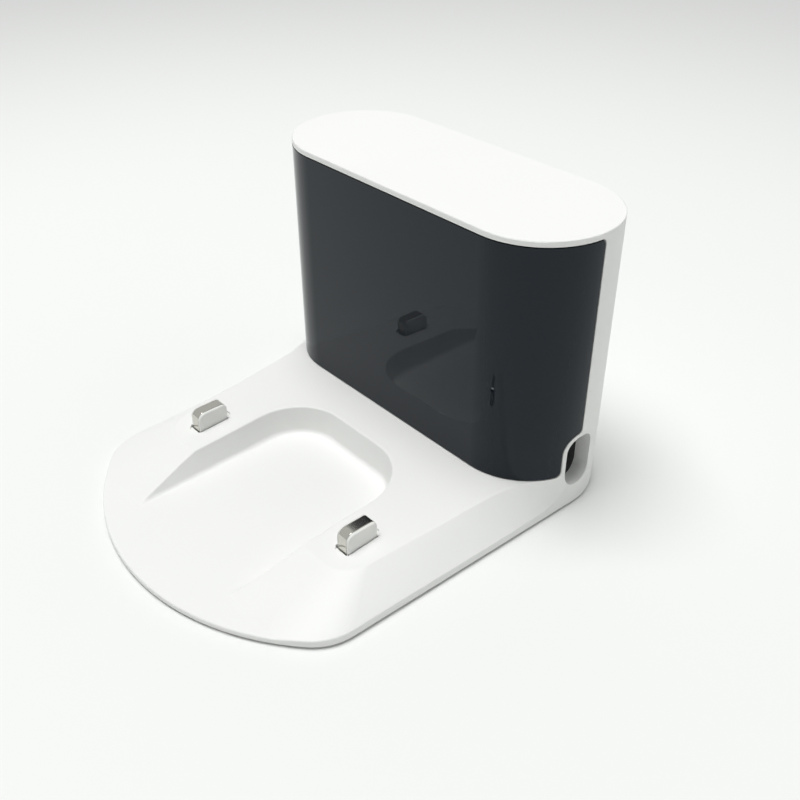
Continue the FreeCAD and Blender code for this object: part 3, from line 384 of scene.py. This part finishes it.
def closedRows(rows):
    # rows of points round an axis become a skin: four-sided faces between rows, fans at the ends
    count, around = rows.shape[:2]
    index = np.arange(count * around).reshape(count, around)
    turned = np.roll(index, -1, axis=1)
    quads = np.stack([index[:-1], turned[:-1], turned[1:], index[1:]], axis=-1).reshape(-1, 4)
    ends = np.full(around, count * around)
    fans = np.concatenate([np.stack([ends, turned[0], index[0]], axis=-1),
                           np.stack([ends + 1, index[-1], turned[-1]], axis=-1)])
    points = np.concatenate([rows.reshape(-1, 3), rows[:1].mean(axis=1), rows[-1:].mean(axis=1)])
    return points, quads, fans


def closedLoops(rows):
    # a grid that meets itself both ways, as the skin of a ring does
    count, around = rows.shape[:2]
    index = np.arange(count * around).reshape(count, around)
    turned = np.roll(index, -1, axis=1)
    ahead = [np.roll(turned, -1, axis=0), np.roll(index, -1, axis=0)]
    quads = np.stack([index, turned, *ahead], axis=-1)
    return rows.reshape(-1, 3), quads.reshape(-1, 4), np.empty((0, 3), int)


def tubeRows(path, along, outward, radius, around):
    # a circle carried along a path, turned with the outward direction square to the path
    along = along / np.linalg.norm(along, axis=1)[:, None]
    outward = outward - along * np.sum(outward * along, axis=1)[:, None]
    outward = outward / np.linalg.norm(outward, axis=1)[:, None]
    side = np.cross(along, outward)
    swing = turnSteps(around)[:, None]
    ring = np.cos(swing) * outward[:, None] + np.sin(swing) * side[:, None]
    return path[:, None] + radius * ring


def gridPiece(name, node, skins, slot, sharpAngle, rides=True):
    # joins the skins into one mesh, turns its faces outwards and lets it stand for the node
    points, faces, start = [], [], 0
    for corners, quads, fans in skins:
        points.append(corners)
        faces += (quads + start).tolist() + (fans + start).tolist()
        start += len(corners)
    mesh = bpy.data.meshes.new(name)
    mesh.from_pydata(np.concatenate(points).tolist(), [], faces)
    workOver(mesh, lambda work: bmesh.ops.recalc_face_normals(work, faces=work.faces))
    return standFor(name, mesh, node, slot, sharpAngle, rides)


# Screws: pan heads with a cross recess and a cut thread
screwSet = {
    "points": {"plate_screws": (0, 0, 1), "bay_screws": (0, 1, 0), "board_screws": (0, 0, -1),
               "ir_screws": (0, 1, 0)},
    "headHeight": 1.0 * mm,
    "headRound": 0.4 * mm,
    "crown": 0.15 * mm,
    "shankRadius": 1.4 * mm,
    "threadPitch": 0.7 * mm,
    "threadDepth": 0.22 * mm,
    "tip": 0.7 * mm,
    "crossReach": 1.5 * mm,
    "crossHalf": 0.3 * mm,
    "crossDepth": 0.6 * mm,
    "crossSlope": 0.16 * mm,
    "crossRise": 0.5,  # share of the cross's depth lost at the ends of its arms
    "firstRow": 0.02,  # share of the top's radius
    "tipShare": 0.3,  # share of the shank's radius
    "rows": {"top": 24, "edge": 6, "thread": 36},
    "around": 64,
    "sharpAngle": 38.0,
}


def screwRows(length, headRadius, s):
    # distance from the axis and depth below the head's top, row by row: crowned top, rounded
    # edge, upright side, flat underside, shank whose radius follows a helix, and a tapered tip
    turn = turnSteps(s["around"])
    count = s["rows"]
    flat = headRadius - s["headRound"]
    top = np.linspace(s["firstRow"], 1, count["top"]) * flat
    bend = np.linspace(0, np.pi / 2, count["edge"])
    shank = np.linspace(s["headHeight"], length - s["tip"], count["thread"])
    reach = np.concatenate([top, flat + s["headRound"] * np.sin(bend), [headRadius],
                            np.full(len(shank), s["shankRadius"]),
                            [s["shankRadius"] * s["tipShare"]]])
    depth = np.concatenate([s["crown"] * (top / flat) ** 2,
                            s["crown"] + s["headRound"] * (1 - np.cos(bend)), [s["headHeight"]],
                            shank, [length]])
    onShank = (depth > s["headHeight"]) & (depth < length - s["tip"] / 2)
    helix = (1 - np.cos(fullTurn * depth[:, None] / s["threadPitch"] - turn)) / 2
    reach = reach[:, None] - onShank[:, None] * s["threadDepth"] * helix
    x, y = reach * np.cos(turn), reach * np.sin(turn)

    def band(value, half):
        return np.clip((half + s["crossSlope"] / 2 - np.abs(value)) / s["crossSlope"], 0, 1)

    # the cross: two crossed bars with sloping sides, deepest in the middle
    arms = np.maximum(band(x, s["crossHalf"]) * band(y, s["crossReach"]),
                      band(y, s["crossHalf"]) * band(x, s["crossReach"]))
    onTop = (np.arange(len(depth)) < count["top"])[:, None]
    shallower = 1 - s["crossRise"] * np.hypot(x, y) / s["crossReach"]
    sunk = onTop * arms * s["crossDepth"] * shallower
    return np.stack([x, y, depth[:, None] + sunk], axis=-1)


def makeScrews(s):
    for node, ahead in s["points"].items():
        axis = np.array(ahead, float)
        across = np.array([1.0, 0, 0])
        base = np.stack([across, np.cross(axis, across), axis])
        skins = []
        for low, high in solidBoxes(node):
            size = high - low
            middle = (low + high) / 2
            length = abs(size @ axis)
            rows = screwRows(length, size[0] / 2, s)
            points, quads, fans = closedRows(rows)
            skins.append((middle - axis * length / 2 + points @ base, quads, fans))
        gridPiece(node + "Cut", node, skins, slotOf[node], s["sharpAngle"])


makeScrews(screwSet)
print("screws made")


# Rubber feet: obround pads with rounded rims and a ridged tread
footSet = {
    "edgeRound": 0.45 * mm,
    "treadPitch": 1.0 * mm,
    "treadDepth": 0.14 * mm,
    "lastInset": 0.97,  # share of the radius at which the rows stop short of the middle
    "rows": {"tread": 40, "edge": 7},
    "around": 72,
    "sharpAngle": 50.0,
}


def footRows(low, high, s):
    # rows are the pad's outline drawn in by an inset: the tread waves with the inset, the rim
    # turns a quarter circle, and the side goes straight up to the seat
    half = (high - low) / 2
    radius = half[:2].min()
    straight = half[:2] - radius
    turn = turnSteps(s["around"]) + np.pi / s["around"]
    bend = np.linspace(0, np.pi / 2, s["rows"]["edge"])
    innermost = radius * s["lastInset"]
    tread = np.linspace(innermost, s["edgeRound"], s["rows"]["tread"])
    waves = (tread - s["edgeRound"]) / s["treadPitch"]
    wave = s["treadDepth"] * (1 - np.cos(fullTurn * waves)) / 2
    inset = np.concatenate([tread, s["edgeRound"] * (1 - np.sin(bend)), [0, innermost]])
    rise = np.concatenate([wave, s["edgeRound"] * (1 - np.cos(bend)), [2 * half[2]] * 2])
    middle = (low + high) / 2
    reach = (radius - inset)[:, None]
    x = middle[0] + straight[0] * np.sign(np.cos(turn)) + reach * np.cos(turn)
    y = middle[1] + straight[1] * np.sign(np.sin(turn)) + reach * np.sin(turn)
    return np.stack([x, y, np.broadcast_to(low[2] + rise[:, None], x.shape)], axis=-1)


def makeFeet(s):
    skins = [closedRows(footRows(low, high, s)) for low, high in solidBoxes("rubber_feet")]
    gridPiece("feetTread", "rubber_feet", skins, slotOf["rubber_feet"], s["sharpAngle"])


makeFeet(footSet)
print("feet made")


# Contact bands: nickel strips folded over the plungers, with smooth bends and rounded edges
bandSet = {
    "nodes": ["contact_strip_left", "contact_strip_right"],
    "thick": 0.35 * mm,
    "edgeRound": 0.15 * mm,
    "bendFront": 2.8 * mm,
    "bendRear": 1.9 * mm,
    "crown": 0.08 * mm,
    "rows": {"side": 6, "bend": 18, "top": 16},
    "columns": 14,
    "corner": 6,
    "sharpAngle": 40.0,
}


def bandPath(low, high, s):
    # the outer line in side view: up the front, a quarter circle, along the top, a quarter circle
    # and down the rear, lowered by a parabola that is zero in the middle and the crown at the ends
    fore, aft, count = s["bendFront"], s["bendRear"], s["rows"]
    swing = np.linspace(0, np.pi / 2, count["bend"])
    run = np.linspace(low[1] + fore, high[1] - aft, count["top"])[1:-1]
    y = np.concatenate([np.full(count["side"], low[1]), low[1] + fore * (1 - np.cos(swing)), run,
                        high[1] - aft * (1 - np.sin(swing)), np.full(count["side"], high[1])])
    up = np.linspace(low[2], high[2] - fore, count["side"], endpoint=False)
    down = np.linspace(low[2], high[2] - aft, count["side"], endpoint=False)[::-1]
    z = np.concatenate([up, high[2] - fore * (1 - np.sin(swing)), np.full(len(run), high[2]),
                        high[2] - aft * (1 - np.cos(swing)), down])
    middle, half = (low[1] + high[1]) / 2, (high[1] - low[1]) / 2
    height = (z - low[2]) / (high[2] - low[2])
    z = z - s["crown"] * height * ((y - middle) / half) ** 2
    along = np.stack([np.gradient(y), np.gradient(z)], axis=-1)
    along /= np.linalg.norm(along, axis=1)[:, None]
    return np.stack([y, z], axis=-1), np.stack([-along[:, 1], along[:, 0]], axis=-1)


def bandSection(half, s):
    # across the band and inwards from its face: the face, a quarter circle at each edge, the back
    swing = np.linspace(0, np.pi / 2, s["corner"])
    edge = half - s["edgeRound"]
    face = edge * np.sin(np.linspace(-np.pi / 2, np.pi / 2, s["columns"]))
    bend = np.stack([np.sin(swing), 1 - np.cos(swing)], axis=-1) * s["edgeRound"] + [edge, 0]
    back = [[half, s["thick"]], [-half, s["thick"]]]
    front = np.stack([face, np.zeros(len(face))], axis=-1)
    return np.concatenate([front, bend[1:], back, (bend * [-1, 1])[:0:-1]])


def makeBands(s):
    for node in s["nodes"]:
        low, high = boxOf(node)
        path, outward = bandPath(low, high, s)
        section = bandSection((high[0] - low[0]) / 2, s)
        side = path[:, None] - outward[:, None] * section[None, :, 1:]
        x = np.broadcast_to((low[0] + high[0]) / 2 + section[:, 0], side.shape[:2])
        rows = np.concatenate([x[..., None], side], axis=-1)
        gridPiece(node + "Fold", node, [closedRows(rows)], slotOf[node], s["sharpAngle"])


makeBands(bandSet)
print("contact bands made")


# Contact springs: coils that climb evenly between the ends of each spring's box
springSet = {
    "nodes": {"contact_spring_left": "contact_left", "contact_spring_right": "contact_right"},
    "wireRadius": 0.2 * mm,
    "turns": 6,
    "steps": 240,
    "around": 12,
    "sharpAngle": 50.0,
}


def coilRows(low, high, s):
    # a circle carried along a helix that climbs evenly between the ends of the node's box
    middle = (low + high) / 2
    radius = (high[0] - low[0]) / 2 - s["wireRadius"]
    turn = np.linspace(0, fullTurn * s["turns"], s["steps"])
    climb = np.linspace(low[2] + s["wireRadius"], high[2] - s["wireRadius"], s["steps"])
    zero = np.zeros(s["steps"])
    outward = np.stack([np.cos(turn), np.sin(turn), zero], axis=-1)
    path = np.stack([middle[0] + zero, middle[1] + zero, climb], axis=-1) + radius * outward
    slope = np.gradient(climb, turn)
    along = np.stack([-radius * np.sin(turn), radius * np.cos(turn), slope], axis=-1)
    return tubeRows(path, along, outward, s["wireRadius"], s["around"])


def makeSprings(s):
    for node, plunger in s["nodes"].items():
        low, high = boxOf(node)
        skins = [closedRows(coilRows(low, high, s))]
        coil = gridPiece(node + "Coil", node, skins, slotOf[node], s["sharpAngle"], rides=False)
        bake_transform(coil)


makeSprings(springSet)
print("springs coiled")


# Filter choke: enamelled wire wound round a ferrite ring
chokeSet = {
    "turns": 30,
    "wireRadius": 0.32 * mm,
    "steps": 720,
    "around": 10,
    "ringSteps": 72,
    "ringAround": 24,
    "sharpAngle": 60.0,
}


def ringPoint(turn, swing, radius, reach):
    # point of a ring's skin: round the ring by turn, round its section by swing
    out = radius + reach * np.cos(swing)
    parts = np.broadcast_arrays(out * np.cos(turn), out * np.sin(turn), reach * np.sin(swing))
    return np.stack(parts, axis=-1)


def makeChoke(s):
    low, high = boxOf("filter_choke")
    middle = (low + high) / 2
    section = (high[2] - low[2]) / 2
    radius = (high[0] - low[0]) / 2 - section
    turn = turnSteps(s["steps"])
    path = ringPoint(turn, s["turns"] * turn, radius, section - s["wireRadius"])
    along = np.roll(path, -1, axis=0) - np.roll(path, 1, axis=0)
    outward = path - ringPoint(turn, 0 * turn, radius, 0)
    wire = tubeRows(middle + path, along, outward, s["wireRadius"], s["around"])
    gridPiece("chokeWire", "filter_choke", [closedLoops(wire)], "copper_wire", s["sharpAngle"])
    ringTurn = turnSteps(s["ringSteps"])[:, None]
    ringSwing = turnSteps(s["ringAround"])[None]
    core = middle + ringPoint(ringTurn, ringSwing, radius, section - 2 * s["wireRadius"])
    gridPiece("chokeRing", "filter_choke", [closedLoops(core)], "ferrite", s["sharpAngle"])


makeChoke(chokeSet)
print("choke wound")


# Stage: pale floor painted darker into a grey backdrop with distance as painted shade, soft
# overhead light and a pale dome
stageSet = {
    "floorHalf": 3.0,
    "paintedFalloff": (0.25, 1.0),  # distances over which the floor turns into the backdrop: painted shade for light falling off far from the lamp
    "backdrop": (0.63, 0.636, 0.628),
    "floorColour": (0.885, 0.895, 0.882),
    "floorRough": 0.9,
    "domeColour": (0.98, 1.0, 0.985),
    "domeEven": 0.22,
    "domeSides": [((0, 0, 1), 0.08), ((1, 0, 0), 0.1), ((0, 1, 0), 0.2)],  # above, right, rear
    "keyLamp": {"place": (-0.2, -0.25, 2.3), "aim": (0, 0, 0.03), "size": 1.25, "power": 43.3},
}


def makeLamp(name, s):
    data = bpy.data.lights.new(name, "AREA")
    data.size = s["size"]
    data.energy = s["power"]
    lamp = bpy.data.objects.new(name, data)
    lamp.location = s["place"]
    aim = Vector(s["aim"]) - Vector(s["place"])
    lamp.rotation_euler = aim.to_track_quat("-Z", "Y").to_euler()
    scene.collection.objects.link(lamp)


def seenRays(tree):
    # 1 for rays that show the backdrop, straight or in metal and glass, and 0 for those that light
    path = addNode(tree, "ShaderNodeLightPath")
    seen = path.outputs["Is Camera Ray"]
    for other in ("Is Glossy Ray", "Is Transmission Ray"):
        seen = addNode(tree, "ShaderNodeMath", {0: seen, 1: path.outputs[other]},
                       operation="MAXIMUM").outputs["Value"]
    return seen


def makeDome(s):
    # brightness of a direction: an even part, and for each side a part that follows the cosine
    # of the angle to that side and ends at a right angle
    world = bpy.data.worlds.new("dome")
    world.use_nodes = True
    tree = world.node_tree
    toward = addNode(tree, "ShaderNodeTexCoord").outputs["Generated"]
    level = s["domeEven"]
    for side, gain in s["domeSides"]:
        facing = addNode(tree, "ShaderNodeVectorMath", {0: toward, 1: side},
                         operation="DOT_PRODUCT")
        share = rangeOf(tree, facing.outputs["Value"], (0, 1), (0, gain))
        level = addNode(tree, "ShaderNodeMath", {0: level, 1: share},
                        operation="ADD").outputs["Value"]
    light = tree.nodes["Background"]
    light.inputs["Color"].default_value = (*s["domeColour"], 1)
    tree.links.new(level, light.inputs["Strength"])
    backdrop = addNode(tree, "ShaderNodeBackground", {"Color": (*s["backdrop"], 1)})
    mix = addNode(tree, "ShaderNodeMixShader", {
        0: seenRays(tree), 1: light.outputs["Background"], 2: backdrop.outputs["Background"]})
    tree.links.new(mix.outputs["Shader"], tree.nodes["World Output"].inputs["Surface"])
    scene.world = world


def makeStage(s):
    half = s["floorHalf"]
    mesh = bpy.data.meshes.new("floor")
    corners = [(-half, -half, 0), (half, -half, 0), (half, half, 0), (-half, half, 0)]
    mesh.from_pydata(corners, [], [(0, 1, 2, 3)])
    material = bpy.data.materials.new("paleFloor")
    material.use_nodes = True
    tree = material.node_tree
    shader = tree.nodes["Principled BSDF"]
    shader.inputs["Base Color"].default_value = (*s["floorColour"], 1)
    shader.inputs["Roughness"].default_value = s["floorRough"]
    shader.inputs["Specular IOR Level"].default_value = 0.0
    # painted shade: seen straight or in reflections, the floor blends into the grey backdrop's glow
    # with distance, for light falling off far from the lamp
    place = addNode(tree, "ShaderNodeTexCoord").outputs["Object"]
    away = addNode(tree, "ShaderNodeVectorMath", {0: place}, operation="LENGTH").outputs["Value"]
    paintedFalloff = addNode(tree, "ShaderNodeMapRange", {
        "Value": away, "From Min": s["paintedFalloff"][0], "From Max": s["paintedFalloff"][1]},
        interpolation_type="SMOOTHSTEP")
    share = addNode(tree, "ShaderNodeMath", {0: paintedFalloff.outputs["Result"], 1: seenRays(tree)},
                    operation="MULTIPLY")
    far = addNode(tree, "ShaderNodeEmission", {"Color": (*s["backdrop"], 1)})
    mix = addNode(tree, "ShaderNodeMixShader", {
        0: share.outputs["Value"], 1: shader.outputs["BSDF"], 2: far.outputs["Emission"]})
    tree.links.new(mix.outputs["Shader"], tree.nodes["Material Output"].inputs["Surface"])
    mesh.materials.append(material)
    floor = bpy.data.objects.new("floor", mesh)
    scene.collection.objects.link(floor)
    makeDome(s)
    makeLamp("keyLamp", s["keyLamp"])


makeStage(stageSet)
print("stage set")

bpy.context.view_layer.update()
